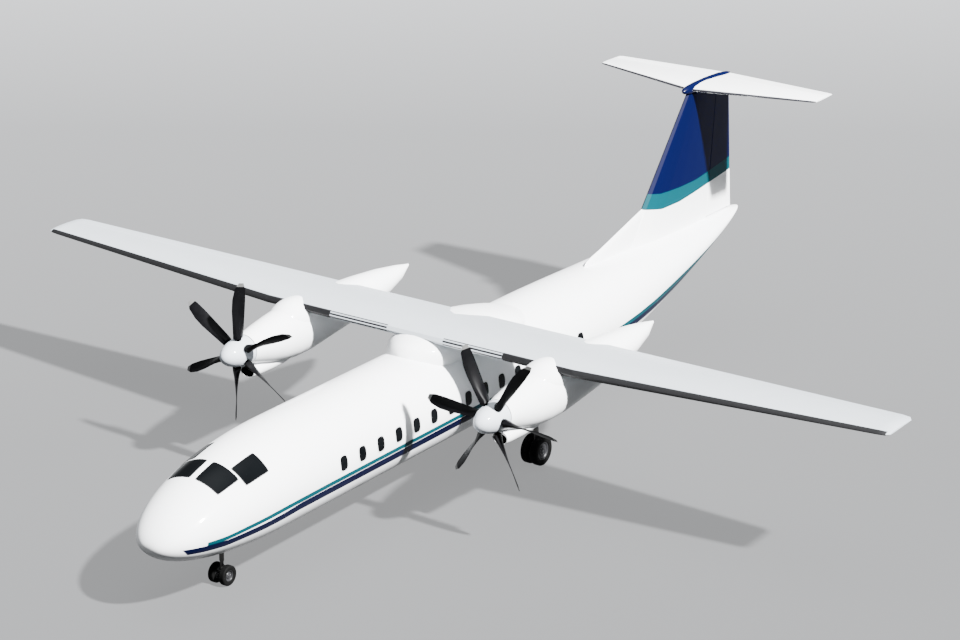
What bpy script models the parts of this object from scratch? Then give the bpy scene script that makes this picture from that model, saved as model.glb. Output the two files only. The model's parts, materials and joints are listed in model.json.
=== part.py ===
# A high-wing twin turboprop airliner with a T-tail, parked on its gear.
# Metres, +Z up, nose towards -Y, +X the aircraft's left. The origin is on the ground,
# under the middle of the aircraft's box.
import math

import bmesh
import bpy
from mathutils import Matrix, Vector

# Driving dimensions
LENGTH = 27.514
NOSE_Y = -LENGTH / 2
TAIL_Y = LENGTH / 2
SPAN = 27.05
AXIS_Z = 2.25
FUSELAGE_RADIUS = 1.43
BELLY_Z = 0.97
WING_BREAK_X = 4.92
NACELLE_X = 4.065
PROPELLER_Y = -5.294
PROPELLER_Z = 3.423
PROPELLER_RADIUS = 1.965
NOSE_GEAR_Y = -11.05
NOSE_TYRE = {"radius": 0.262, "width": 0.17, "rim": 0.14, "offset": 0.17, "axle": 0.025}
MAIN_GEAR = (2.054, -0.214)
MAIN_TYRE = {"radius": 0.41, "width": 0.215, "rim": 0.25, "offset": 0.15, "axle": 0.040}
WHEEL_SIDES = 22
SEAT_GAP = 0.0003
AXLE_PLAY = 0.0009
HINGE_GAP = 0.009
END_GAP = 0.02
PIN_GAP = 0.0008
HINGE_PIN_RADIUS = 0.012
RING = 36
SKIN_POINTS = 10

# Finishes: base colour, roughness and metallic
FINISHES = {
    "white_paint": ((0.86, 0.87, 0.88), 0.25, 0.0),
    "grey_paint": ((0.62, 0.66, 0.70), 0.35, 0.0),
    "navy_paint": ((0.02, 0.04, 0.16), 0.25, 0.0),
    "dark_glass": ((0.01, 0.012, 0.015), 0.10, 0.0),
    "blade_black": ((0.015, 0.015, 0.018), 0.40, 0.0),
    "bare_metal": ((0.45, 0.45, 0.46), 0.35, 1.0),
    "gear_paint": ((0.35, 0.35, 0.35), 0.45, 0.0),
    "tyre_rubber": ((0.012, 0.012, 0.012), 0.80, 0.0),
}

for thing in list(bpy.data.objects):
    bpy.data.objects.remove(thing)


def finish(name):
    """The material of that name, made on first use."""
    if name in bpy.data.materials:
        return bpy.data.materials[name]
    colour, roughness, metallic = FINISHES[name]
    material = bpy.data.materials.new(name)
    material.use_nodes = True
    shader = material.node_tree.nodes["Principled BSDF"]
    shader.inputs["Base Color"].default_value = (*colour, 1.0)
    shader.inputs["Roughness"].default_value = roughness
    shader.inputs["Metallic"].default_value = metallic
    return material


def solid(name, points, faces, material="white_paint"):
    """One object from points and faces, its faces turned outwards and its round sides smooth."""
    mesh = bpy.data.meshes.new(name)
    mesh.from_pydata([tuple(p) for p in points], [], faces)
    shape = bmesh.new()
    shape.from_mesh(mesh)
    bmesh.ops.recalc_face_normals(shape, faces=shape.faces)
    shape.to_mesh(mesh)
    shape.free()
    mesh.shade_smooth()
    mesh.set_sharp_from_angle(angle=math.radians(35))
    mesh.materials.append(finish(material))
    thing = bpy.data.objects.new(name, mesh)
    bpy.context.scene.collection.objects.link(thing)
    return thing


def loft(name, rings, material="white_paint"):
    """A closed skin of triangles through rings of equal count, with flat ends."""
    count = len(rings[0])
    points = [p for ring in rings for p in ring]
    faces = []
    for i in range(len(rings) - 1):
        for j in range(count):
            k = (j + 1) % count
            a, b, c, d = i * count + j, i * count + k, (i + 1) * count + k, (i + 1) * count + j
            faces += [(a, b, c), (a, c, d)]
    faces.append(tuple(range(count)))
    faces.append(tuple(range((len(rings) - 1) * count, len(rings) * count)))
    return solid(name, points, faces, material)


def turned(name, profile, centre, axis, material, count=32):
    """A profile of (along, radius) rows turned about an axis; a zero radius closes an end."""
    along = Vector(axis)
    side = Vector((0, 1, 0)) if abs(along.x) > 0.5 else along.orthogonal().normalized()
    up = along.cross(side)
    points, rows = [], []
    for distance, radius in profile:
        start = len(points)
        steps = count if radius > 0 else 1
        for step in range(steps):
            turn = 2 * math.pi * step / count
            arm = side * math.cos(turn) + up * math.sin(turn)
            points.append(Vector(centre) + along * distance + arm * radius)
        rows.append((start, steps))
    faces = []
    closed_ring = profile[0][1] > 0 and profile[-1][1] > 0
    pairs = list(zip(rows, rows[1:])) + ([(rows[-1], rows[0])] if closed_ring else [])
    for (a, a_steps), (b, b_steps) in pairs:
        for step in range(count):
            after = (step + 1) % count
            if a_steps == 1:
                faces.append((a, b + step, b + after))
            elif b_steps == 1:
                faces.append((a + step, a + after, b))
            else:
                faces.append((a + step, a + after, b + after, b + step))
    return solid(name, points, faces, material)


def rod(name, start, end, radius, material, count=14):
    """A round bar between two points."""
    run = Vector(end) - Vector(start)
    profile = [(0, 0), (0, radius), (run.length, radius), (run.length, 0)]
    return turned(name, profile, start, run.normalized(), material, count)


def combine(thing, others, operation):
    """Apply an exact Boolean with each other object, and remove those objects."""
    for other in others:
        step = thing.modifiers.new("step", "BOOLEAN")
        step.operation = operation
        step.object = other
    bpy.context.view_layer.update()
    graph = bpy.context.evaluated_depsgraph_get()
    result = bpy.data.meshes.new_from_object(thing.evaluated_get(graph))
    thing.modifiers.clear()
    thing.data = result
    for other in others:
        bpy.data.objects.remove(other)
    return thing


def cut(thing, *cutters):
    return combine(thing, cutters, "DIFFERENCE")


def join(thing, *others):
    return combine(thing, others, "UNION")


def set_origin(thing, point):
    """Move the object's origin to a point of its joint's axis."""
    thing.data.transform(Matrix.Translation(-Vector(point)))
    thing.location = point
    return thing


def mirrored(thing, name):
    """The right-hand twin of a left-hand piece, as its own mesh."""
    mesh = thing.data.copy()
    mesh.transform(Matrix.Scale(-1, 4, (1, 0, 0)))
    mesh.flip_normals()
    twin = bpy.data.objects.new(name, mesh)
    twin.location = (-thing.location.x, thing.location.y, thing.location.z)
    bpy.context.scene.collection.objects.link(twin)
    return twin


# Fuselage: ellipses whose top, bottom and side lines follow rounded tapers.
# Each taper is (length, inner power, outer power).
NOSE_TIP_Z = 1.95
TAIL_TIP_Z = 3.25
NOSE_TAPER = {"top": (5.2, 2.16, 0.63), "bottom": (4.0, 1.90, 0.455), "side": (6.0, 3.5, 0.44)}
TAIL_TAPER = {"top": (11.65, 1.44, 0.70), "bottom": (8.50, 1.25, 1.18), "side": (11.7, 1.88, 0.65)}
COCKPIT_Y = -12.85
CABIN_Y = -9.60
REAR_Y = 4.70
CONE_Y = 12.70


def taper(distance, line):
    length, inner, outer = line
    reach = min(max(distance / length, 0.0), 1.0)
    return (1 - (1 - reach) ** inner) ** outer


def fuselage_box(y):
    """Half width, lowest and highest Z of the fuselage at a station."""
    top = AXIS_Z + FUSELAGE_RADIUS
    nose = {line: taper(y - NOSE_Y, row) for line, row in NOSE_TAPER.items()}
    tail = {line: taper(TAIL_Y - y, row) for line, row in TAIL_TAPER.items()}
    part, tip = (nose, NOSE_TIP_Z) if y < 0 else (tail, TAIL_TIP_Z)
    low = tip - (tip - BELLY_Z) * part["bottom"]
    high = tip + (top - tip) * part["top"]
    return FUSELAGE_RADIUS * part["side"], low, high


def oval(y, half_width, low, high, x=0.0, count=RING, power=1.0):
    """A ring of a body that runs along Y; a power under 1 squares its corners."""
    points = []
    for step in range(count):
        turn = 2 * math.pi * step / count
        across = math.copysign(abs(math.sin(turn)) ** power, math.sin(turn))
        rise = math.copysign(abs(math.cos(turn)) ** power, math.cos(turn))
        height = (low + high) / 2 + (high - low) / 2 * rise
        points.append((x + half_width * across, y, height))
    return points


def fuselage_ring(y, grow=0.0):
    half_width, low, high = fuselage_box(y)
    return oval(y, half_width + grow, low - grow, high + grow)


def stations(start, end, count, power=1.0):
    """Stations from start to end, set closer together near the start."""
    return [start + (end - start) * (i / count) ** power for i in range(count + 1)]


TIP_LENGTH = 0.004
CABIN_TAPER = (-7.757, 2.000, 3.400)
FUSELAGE_STATIONS = {
    "radome": stations(NOSE_Y + TIP_LENGTH, COCKPIT_Y, 6, 1.8),
    "cockpit_section": stations(COCKPIT_Y + SEAT_GAP, CABIN_Y, 8),
    "cabin_section": [CABIN_Y + SEAT_GAP, *CABIN_TAPER, REAR_Y],
    "rear_fuselage": stations(REAR_Y + SEAT_GAP, CONE_Y, 8),
    "tail_cone": list(reversed(stations(TAIL_Y - TIP_LENGTH, CONE_Y + SEAT_GAP, 4, 1.6))),
}
fuselage = {name: loft(name, [fuselage_ring(y) for y in rows]) for name, rows in FUSELAGE_STATIONS.items()}
cockpit_section = fuselage["cockpit_section"]


def fuselage_cutter(start, end):
    """The fuselage with its own facets, a seating gap larger, around a stretch of it."""
    rows = sorted(y for part_rows in FUSELAGE_STATIONS.values() for y in part_rows)
    first = max([i for i, y in enumerate(rows) if y <= start] + [0])
    last = min([i for i, y in enumerate(rows) if y >= end] + [len(rows) - 1])
    return loft("cutter", [fuselage_ring(y, SEAT_GAP) for y in rows[first:last + 1]])


# Cockpit panes: patches of the nose between two stations and two angles from the top.
# name, front, rear, inner angle, outer angle
PANES = (
    ("windshield", -12.055, -11.385, 5.0, 40.0),
    ("side_window", -11.272, -10.505, 26.2, 50.5),
)
PANE_DEPTH = 0.04


def patch(name, front, rear, inner, outer, side, high, low, grow, material="dark_glass"):
    """A closed patch of the fuselage skin, from offset low to offset high."""
    across, along = 5, 3
    layers = []
    for offset in (high, low):
        rows = []
        for i in range(along + 1):
            y = front - grow + (rear - front + 2 * grow) * i / along
            half_width, bottom, top = fuselage_box(y)
            spread = math.degrees(grow / half_width)
            for j in range(across + 1):
                turn = math.radians(inner - spread + (outer - inner + 2 * spread) * j / across)
                rows.append((side * (half_width + offset) * math.sin(turn), y,
                             (top + bottom) / 2 + ((top - bottom) / 2 + offset) * math.cos(turn)))
        layers.append(rows)
    width = across + 1
    size = len(layers[0])
    points = layers[0] + layers[1]
    faces = []
    for i in range(along):
        for j in range(across):
            a, b = i * width + j, (i + 1) * width + j
            faces.append((a, a + 1, b + 1, b))
            faces.append((a + size, b + size, b + 1 + size, a + 1 + size))
    rim = [j for j in range(width)] + [i * width + across for i in range(1, along + 1)]
    rim += [along * width + j for j in range(across - 1, -1, -1)] + [i * width for i in range(along - 1, 0, -1)]
    for a, b in zip(rim, rim[1:] + rim[:1]):
        faces.append((a, a + size, b + size, b))
    return solid(name, points, faces, material)


for pane, front, rear, inner, outer in PANES:
    for side_name, side in (("left", 1), ("right", -1)):
        pocket = patch("cutter", front, rear, inner, outer, side, 0.05, -PANE_DEPTH, 0.0)
        cut(cockpit_section, pocket)
        patch(f"{pane}_{side_name}", front, rear, inner, outer, side, 0.0,
              -PANE_DEPTH + 3 * SEAT_GAP, -3 * SEAT_GAP)

# Wing: x, leading edge y and z, trailing edge y and z, thickness over chord
WING = (
    (0.00, -2.970, 4.050, -0.400, 3.975, 0.165),
    (WING_BREAK_X, -2.970, 4.050, -0.400, 3.975, 0.165),
    (13.200, -2.178, 4.125, -0.782, 4.160, 0.125),
    (13.420, -2.150, 4.128, -0.815, 4.158, 0.105),
    (SPAN / 2, -2.060, 4.135, -0.960, 4.150, 0.040),
)
WING_CAMBER = 0.010
EDGE_THICKNESS = 0.006
COVE_LENGTH = 3.0
COVE_HEIGHT = 0.6
HINGE_PIN_LENGTH = 0.03
FLAP_HINGE = 0.74
AILERON_HINGE = 0.73


def section_height(reach, thickness, camber):
    """Upper and lower height of a wing section over its chord line, as parts of the chord."""
    form = (0.2969 * math.sqrt(reach) - 0.1260 * reach - 0.3516 * reach ** 2
            + 0.2843 * reach ** 3 - 0.1036 * reach ** 4)
    bow = camber * 4 * reach * (1 - reach)
    return bow + 5 * thickness * form, bow - 5 * thickness * form


class Surface:
    """A lifting surface given by rows of (spread, leading y, rise, trailing y, rise, thickness).

    The spread is X and the rise Z for a wing; for a fin the spread is Z and the rise X."""

    def __init__(self, rows, camber=0.0, upright=False):
        self.rows = rows
        self.camber = camber
        self.upright = upright

    def at(self, spread):
        for low, high in zip(self.rows, self.rows[1:]):
            if spread <= high[0] or high is self.rows[-1]:
                part = (spread - low[0]) / (high[0] - low[0])
                return [a + (b - a) * part for a, b in zip(low, high)]

    def place(self, spread, y, rise):
        return (rise, y, spread) if self.upright else (spread, y, rise)

    def skin(self, spread, reach, grow=0.0):
        """Y, upper and lower rise of the skin at a part of the chord."""
        _, y0, z0, y1, z1, thickness = self.at(spread)
        chord = y1 - y0
        upper, lower = section_height(reach, thickness, self.camber)
        line = z0 + (z1 - z0) * reach
        edge = EDGE_THICKNESS / 2 * reach + grow
        y = y0 + chord * reach + grow * (2 * reach - 1)
        return y, line + upper * chord + edge, line + lower * chord - edge

    def hinge(self, spread, reach):
        """Centre and radius of the nose of a control surface hinged at a part of the chord."""
        y, upper, lower = self.skin(spread, reach)
        return y, (upper + lower) / 2, (upper - lower) / 2

    def ring(self, spread, start=0.0, grow=0.0, tilt=None):
        """A section, from its trailing edge over the top to the front and back underneath."""
        reaches = [start + (1 - start) * (1 - math.cos(math.pi / 2 * i / SKIN_POINTS))
                   for i in range(SKIN_POINTS, -1, -1)]
        if start == 0.0:
            reaches = [(1 - math.cos(math.pi * i / SKIN_POINTS)) / 2 for i in range(SKIN_POINTS, -1, -1)]
        top = [self.skin(spread, r, grow) for r in reaches]
        over = [(y, upper) for y, upper, _ in top]
        under = [(y, lower) for y, _, lower in reversed(top)]
        if start > 0.0:
            y, rise, radius = self.hinge(spread, start)
            nose = [(y - radius * math.sin(a), rise + radius * math.cos(a))
                    for a in (math.pi * i / 8 for i in range(1, 8))]
            outline = over + nose + under
        else:
            outline = over[:-1] + [((over[-1][0] + under[0][0]) / 2, (over[-1][1] + under[0][1]) / 2)]
            outline += under[1:]
        return [self.place(spread + (tilt(y) if tilt else 0.0), y, rise) for y, rise in outline]

    def cove(self, spread, reach):
        """A section of the space for a control surface, with a round front about its hinge."""
        y, rise, radius = self.hinge(spread, reach)
        wide = radius + HINGE_GAP
        back = math.sqrt(wide ** 2 - radius ** 2)
        limit = math.acos(back / wide)
        arc = [(y - wide * math.cos(a), rise + wide * math.sin(a))
               for a in (limit - 2 * limit * i / 8 for i in range(9))]
        far, tall = y + COVE_LENGTH, COVE_HEIGHT
        box = [(far, rise + tall), (y - back, rise + tall)] + arc + [(y - back, rise - tall), (far, rise - tall)]
        return [self.place(spread, a, b) for a, b in box]

    def moving(self, name, low, high, reach, material="grey_paint"):
        """A control surface between two ribs, on hinge pins, its origin on its hinge line."""
        thing = loft(name, [self.ring(low + END_GAP, reach), self.ring(high - END_GAP, reach)], material)
        for rib, inward in ((low, 1), (high, -1)):
            y, rise, _ = self.hinge(rib, reach)
            start, end = rib + inward * PIN_GAP, rib + inward * (END_GAP + HINGE_PIN_LENGTH)
            pin = rod("pin", self.place(start, y, rise), self.place(end, y, rise), HINGE_PIN_RADIUS, material, 10)
            join(thing, pin)
        y, rise, _ = self.hinge((low + high) / 2, reach)
        return set_origin(thing, self.place((low + high) / 2, y, rise))

    def space(self, low, high, reach):
        return loft("cutter", [self.cove(low, reach), self.cove(high, reach)])


wing = Surface(WING, WING_CAMBER)
# Spans of the moving surfaces, as X from and to
INNER_FLAP = (1.62, 3.30)
OUTER_FLAP = (4.96, 8.97)
AILERON = (9.03, 12.80)

center_rows = [wing.ring(x) for x in (0.0, WING_BREAK_X)]
wing_center = loft("wing_center", [[(-WING_BREAK_X, y, z) for _, y, z in center_rows[1]], center_rows[1]],
                   "grey_paint")
outer_stations = [WING_BREAK_X + SEAT_GAP, 13.200, 13.420, SPAN / 2]
wing_left = loft("wing_left", [wing.ring(x) for x in outer_stations], "grey_paint")
cut(wing_left, wing.space(*OUTER_FLAP, FLAP_HINGE))
cut(wing_left, wing.space(*AILERON, AILERON_HINGE))
inner_space = wing.space(*INNER_FLAP, FLAP_HINGE)
inner_space_right = mirrored(inner_space, "cutter_right")
cut(wing_center, inner_space, inner_space_right)
flap_inner_left = wing.moving("flap_inner_left", *INNER_FLAP, FLAP_HINGE)
flap_outer_left = wing.moving("flap_outer_left", *OUTER_FLAP, FLAP_HINGE)
aileron_left = wing.moving("aileron_left", *AILERON, AILERON_HINGE)
for piece in (wing_left, flap_inner_left, flap_outer_left, aileron_left):
    mirrored(piece, piece.name.replace("left", "right"))


def wing_cutter(low, high):
    return loft("cutter", [wing.ring(low, 0.0, SEAT_GAP), wing.ring(high, 0.0, SEAT_GAP)])


def center_cutter():
    ring = wing.ring(WING_BREAK_X, 0.0, SEAT_GAP)
    return loft("cutter", [[(-2.5, y, z) for _, y, z in ring], [(2.5, y, z) for _, y, z in ring]])


# Wing fairing on the fuselage's back: y, half width, top; its foot is inside the fuselage
WING_FAIRING = (
    (-3.68, 0.06, 3.60),
    (-3.60, 0.32, 3.81),
    (-3.42, 0.54, 3.94),
    (-3.15, 0.76, 4.02),
    (-2.90, 0.92, 4.08),
    (-2.20, 1.02, 4.15),
    (-1.20, 1.08, 4.15),
    (-0.40, 1.10, 4.05),
    (0.30, 1.05, 3.92),
    (0.90, 0.90, 3.79),
    (1.40, 0.66, 3.66),
    (1.70, 0.40, 3.52),
)
FAIRING_FOOT = 3.00
FAIRING_CORNER = 0.9
wing_fairing = loft("wing_fairing", [oval(y, wide, FAIRING_FOOT, top, power=FAIRING_CORNER, count=26)
                                     for y, wide, top in WING_FAIRING])
cut(wing_fairing, fuselage_cutter(-5.0, 4.5))
cut(wing_fairing, center_cutter())

# Nacelle: y, half width, bottom, top
NACELLE = (
    (-4.960, 0.400, 3.020, 3.830),
    (-4.700, 0.455, 2.950, 3.895),
    (-4.300, 0.535, 2.830, 3.965),
    (-3.800, 0.610, 2.720, 4.040),
    (-3.250, 0.665, 2.660, 4.100),
    (-2.600, 0.690, 2.670, 4.130),
    (-1.900, 0.690, 2.760, 4.140),
    (-1.100, 0.660, 2.860, 4.110),
    (0.000, 0.570, 3.010, 4.050),
    (1.000, 0.420, 3.180, 3.970),
    (1.800, 0.240, 3.400, 3.860),
    (2.366, 0.030, 3.690, 3.750),
)
ENGINE = {"width": 0.50, "height": 0.52, "front": -4.965, "rear": -2.900, "z": 3.40}
ENGINE_CLEARANCE = 0.02
SHAFT_RADIUS = 0.06
HUB_BACK_Y = -5.060


def nacelle_body(name, grow=0.0):
    return loft(name, [oval(y, wide + grow, low - grow, high + grow, NACELLE_X, 24)
                       for y, wide, low, high in NACELLE])


def block(name, x, y, z, material="bare_metal"):
    """A box from its limits in X, Y and Z."""
    points = [(a, b, c) for a in x for b in y for c in z]
    faces = [(0, 1, 3, 2), (4, 6, 7, 5), (0, 4, 5, 1), (2, 3, 7, 6), (0, 2, 6, 4), (1, 5, 7, 3)]
    return solid(name, points, faces, material)


def engine_block(name, spare):
    half_width = ENGINE["width"] / 2 + spare
    half_height = ENGINE["height"] / 2 + spare
    front = ENGINE["front"] - (1.0 if spare else 0.0)
    return block(name, (NACELLE_X - half_width, NACELLE_X + half_width),
                 (front, ENGINE["rear"] + spare),
                 (ENGINE["z"] - half_height, ENGINE["z"] + half_height))


nacelle_left = nacelle_body("nacelle_left")
cut(nacelle_left, wing_cutter(2.6, 4.915))
cut(nacelle_left, engine_block("cutter", SEAT_GAP))
engine_left = engine_block("engine_left", 0.0)
shaft = rod("shaft", (NACELLE_X, ENGINE["front"] + 0.05, PROPELLER_Z),
            (NACELLE_X, HUB_BACK_Y + SEAT_GAP, PROPELLER_Z), SHAFT_RADIUS, "bare_metal")
join(engine_left, shaft)

# Chin intake under the nacelle: y, half width, bottom, top
SCOOP = (
    (-4.900, 0.235, 2.600, 2.960),
    (-4.700, 0.250, 2.570, 3.000),
    (-4.100, 0.255, 2.555, 3.000),
    (-3.500, 0.250, 2.580, 3.000),
    (-2.900, 0.200, 2.680, 3.000),
)
SCOOP_WALL = 0.022
SCOOP_MOUTH = (0.60, 2.595, 2.900)
intake_left = loft("intake_scoop_left", [oval(y, wide, low, high, NACELLE_X, 20)
                                         for y, wide, low, high in SCOOP])
cut(intake_left, nacelle_body("cutter", SEAT_GAP))
mouth_depth, mouth_low, mouth_high = SCOOP_MOUTH
mouth = [oval(y, 0.235 - SCOOP_WALL, mouth_low + SCOOP_WALL, mouth_high, NACELLE_X, 20)
         for y in (SCOOP[0][0] - 0.05, SCOOP[0][0] + mouth_depth)]
cut(intake_left, loft("cutter", mouth))

# Propeller: radius, chord, thickness, pitch in degrees from the disc, forward sweep of the chord
BLADE = (
    (0.300, 0.110, 0.095, 82.0, 0.000),
    (0.392, 0.175, 0.105, 82.0, 0.000),
    (0.420, 0.325, 0.220, 76.0, 0.000),
    (0.520, 0.340, 0.185, 75.0, 0.000),
    (0.680, 0.340, 0.110, 70.0, 0.005),
    (0.950, 0.345, 0.050, 62.0, 0.012),
    (1.200, 0.355, 0.032, 54.0, 0.018),
    (1.500, 0.345, 0.022, 47.0, 0.010),
    (1.800, 0.275, 0.016, 43.0, -0.020),
    (PROPELLER_RADIUS, 0.120, 0.009, 41.0, -0.060),
)
BLADE_COUNT = 6
BLADE_PHASE = {"left": -26.8, "right": 3.0}
HUB = {"radius": 0.19, "front": -5.530}
SPINNER = ((-5.920, 0.0), (-5.900, 0.085), (-5.830, 0.175), (-5.700, 0.265), (-5.500, 0.340),
           (-5.250, 0.385), (-4.985, 0.400))


def blade_ring(row):
    """A lens-shaped blade section at its radius, with the blade pointing up."""
    radius, chord, thickness, pitch, sweep = row
    turn = math.radians(pitch)
    points = []
    for side in (1, -1):
        for i in range(6):
            reach = i / 5 if side == 1 else 1 - i / 5
            if side == -1 and i in (0, 5):
                continue
            swell = thickness / 2 * (math.sin(math.pi * reach ** 0.7) + 0.06) * side
            along = chord * (0.45 - reach) + sweep
            points.append((-along * math.cos(turn) - swell * math.sin(turn),
                           -along * math.sin(turn) + swell * math.cos(turn), radius))
    return points


def propeller(side_name, side):
    center = Vector((side * NACELLE_X, PROPELLER_Y, PROPELLER_Z))
    hub_profile = [(HUB["front"] - PROPELLER_Y, 0), (HUB["front"] - PROPELLER_Y, HUB["radius"]),
                   (HUB_BACK_Y - PROPELLER_Y, HUB["radius"]), (HUB_BACK_Y - PROPELLER_Y, 0)]
    hub = turned(f"propeller_{side_name}", hub_profile, (0, 0, 0), (0, 1, 0), "blade_black", 20)
    blades, sockets = [], []
    for index in range(BLADE_COUNT):
        angle = BLADE_PHASE[side_name] + 360 / BLADE_COUNT * index
        turn = Matrix.Rotation(math.radians(angle), 4, (0, 1, 0))
        shank = rod("blade", (0, 0, 0.1), (0, 0, 0.345), 0.062, "blade_black", 8)
        foil = loft("foil", [blade_ring(row) for row in BLADE], "blade_black")
        join(shank, foil)
        shank.data.transform(turn)
        blades.append(shank)
        socket = rod("socket", (0, 0, 0.1), (0, 0, 0.6), 0.105, "blade_black", 8)
        socket.data.transform(turn)
        sockets.append(socket)
    join(hub, *blades)
    spinner = turned(f"spinner_{side_name}", [(y - PROPELLER_Y, r) for y, r in SPINNER]
                     + [(SPINNER[-1][0] - PROPELLER_Y, 0)], (0, 0, 0), (0, 1, 0), "white_paint", 24)
    bore = rod("bore", (0, HUB["front"] - SEAT_GAP - PROPELLER_Y, 0), (0, 1, 0),
               HUB["radius"] + SEAT_GAP, "white_paint", 20)
    cut(spinner, bore)
    cut(spinner, *sockets)
    for piece in (hub, spinner):
        piece.location = center


for side_name, side in (("left", 1), ("right", -1)):
    propeller(side_name, side)
for piece in (nacelle_left, engine_left, intake_left):
    mirrored(piece, piece.name.replace("left", "right"))

# Tail: fin rows are z, leading y, x, trailing y, x, thickness over chord
FIN = (
    (3.20, 7.170, 0.0, 13.365, 0.0, 0.075),
    (7.45, 10.635, 0.0, 13.032, 0.0, 0.105),
)
# Rudder hinge line: height and y of its two ends
RUDDER_HINGE = ((3.20, 11.730), (7.45, 12.230))
TAILPLANE = (
    (0.00, 10.740, 7.565, 13.045, 7.565, 0.110),
    (3.560, 11.686, 7.565, 12.792, 7.565, 0.095),
    (3.655, 11.740, 7.565, 12.740, 7.565, 0.040),
)
ELEVATOR = (0.24, 3.54)
ELEVATOR_HINGE = 0.68
RUDDER_TOP = 7.34
FIN_TOP = 7.43
RUDDER_FOOT = {"hinge": 3.445, "slope": -0.055}

fin_surface = Surface(FIN, 0.0, upright=True)
tail_surface = Surface(TAILPLANE, 0.0)


def rudder_hinge_y(height):
    (low, low_y), (high, high_y) = RUDDER_HINGE
    return low_y + (high_y - low_y) * (height - low) / (high - low)


def rudder_reach(height):
    """The hinge's part of the fin's chord at a height."""
    row = fin_surface.at(height)
    return (rudder_hinge_y(height) - row[1]) / (row[3] - row[1])


def rudder_foot(y):
    return RUDDER_FOOT["slope"] * (y - rudder_hinge_y(RUDDER_FOOT["hinge"]))


FIN_ENDS = (FIN[0][0], FIN_TOP)
fin = loft("fin", [fin_surface.ring(z) for z in FIN_ENDS])
cut(fin, loft("cutter", [fin_surface.cove(z, rudder_reach(z)) for z in (RUDDER_HINGE[0][0], RUDDER_TOP)]))
rudder_low, rudder_high = RUDDER_FOOT["hinge"], RUDDER_TOP - END_GAP
rudder = loft("rudder", [fin_surface.ring(rudder_low, rudder_reach(rudder_low), 0.0, rudder_foot),
                         fin_surface.ring(rudder_high, rudder_reach(rudder_high))])
rudder_middle = (rudder_low + rudder_high) / 2
top_y = rudder_hinge_y(RUDDER_TOP)
join(rudder, rod("pin", (0, top_y, rudder_high - HINGE_PIN_LENGTH), (0, top_y, RUDDER_TOP - PIN_GAP),
                 HINGE_PIN_RADIUS, "white_paint", 10))
set_origin(rudder, (0, rudder_hinge_y(rudder_middle), rudder_middle))

# Dorsal fillet ahead of the fin: y, top, half width; its foot is inside the fuselage
DORSAL = (
    (5.20, 3.600, 0.030),
    (5.35, 3.760, 0.070),
    (5.60, 3.845, 0.090),
    (6.06, 3.950, 0.100),
    (6.69, 4.125, 0.100),
    (7.30, 4.295, 0.100),
    (7.80, 4.435, 0.100),
    (8.15, 4.530, 0.090),
    (8.32, 4.575, 0.060),
    (8.45, 4.600, 0.020),
)
DORSAL_FOOT = 3.00
dorsal = loft("dorsal_fin", [oval(y, wide, DORSAL_FOOT, top, power=0.9, count=16)
                             for y, top, wide in DORSAL])
cut(dorsal, fuselage_cutter(4.8, 9.2))
fin_cutter = loft("cutter", [fin_surface.ring(z, 0.0, 2 * SEAT_GAP) for z in FIN_ENDS])
cut(dorsal, fin_cutter)
DORSAL_LAP = 0.08
behind = [[(x, y, z) for x, y in ((-0.5, front), (0.5, front), (0.5, 11.0), (-0.5, 11.0))]
          for z, front in ((z, fin_surface.at(z)[1] + DORSAL_LAP) for z in (3.2, 5.5))]
cut(dorsal, loft("cutter", behind))
cut(fin, fuselage_cutter(6.5, TAIL_Y - 0.05))

tail_rings = [tail_surface.ring(x) for x in (0.0, 3.560, 3.655)]
tailplane = loft("tailplane", [[(-x, y, z) for x, y, z in ring] for ring in reversed(tail_rings[1:])]
                 + tail_rings)
elevator_space = tail_surface.space(*ELEVATOR, ELEVATOR_HINGE)
cut(tailplane, elevator_space, mirrored(elevator_space, "cutter_right"))
elevator_left = tail_surface.moving("elevator_left", *ELEVATOR, ELEVATOR_HINGE, "white_paint")
mirrored(elevator_left, "elevator_right")

# Bullet where the fin and the tailplane cross: y, half width, bottom, top
BULLET = (
    (10.394, 0.020, 7.565, 7.595),
    (10.480, 0.085, 7.490, 7.655),
    (10.700, 0.140, 7.440, 7.700),
    (11.100, 0.170, 7.415, 7.722),
    (11.800, 0.175, 7.410, 7.725),
    (12.500, 0.140, 7.440, 7.700),
    (12.900, 0.080, 7.490, 7.650),
    (13.099, 0.015, 7.560, 7.590),
)


def bullet_body(name, grow=0.0):
    return loft(name, [oval(y, wide + grow, low - grow, high + grow, count=16)
                       for y, wide, low, high in BULLET], "navy_paint")


def tailplane_cutter():
    ring = tail_surface.ring(0.0, 0.0, SEAT_GAP)
    return loft("cutter", [[(-0.4, y, z) for _, y, z in ring], [(0.4, y, z) for _, y, z in ring]])


tail_bullet = bullet_body("tail_bullet")
cut(tail_bullet, tailplane_cutter())
cut(fin, bullet_body("cutter", SEAT_GAP))

# Nose gear: the leg on the belly, the steered fork with its axle hole, and the wheels
NOSE_LEG_FOOT = 0.620
nose_axle_z = NOSE_TYRE["radius"]
nose_leg = rod("nose_gear_leg", (0, NOSE_GEAR_Y, NOSE_LEG_FOOT), (0, NOSE_GEAR_Y, 1.5), 0.062, "gear_paint")
cut(nose_leg, fuselage_cutter(-12.5, -9.6))
nose_fork = rod("nose_gear_steering", (0, NOSE_GEAR_Y, nose_axle_z - 0.062),
                (0, NOSE_GEAR_Y, NOSE_LEG_FOOT - SEAT_GAP), 0.048, "gear_paint")
barrel = rod("barrel", (-0.062, NOSE_GEAR_Y, nose_axle_z), (0.062, NOSE_GEAR_Y, nose_axle_z), 0.055, "gear_paint")
join(nose_fork, barrel)
cut(nose_fork, rod("cutter", (-0.2, NOSE_GEAR_Y, nose_axle_z), (0.2, NOSE_GEAR_Y, nose_axle_z),
                   NOSE_TYRE["axle"] + AXLE_PLAY, "gear_paint", WHEEL_SIDES))
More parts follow.
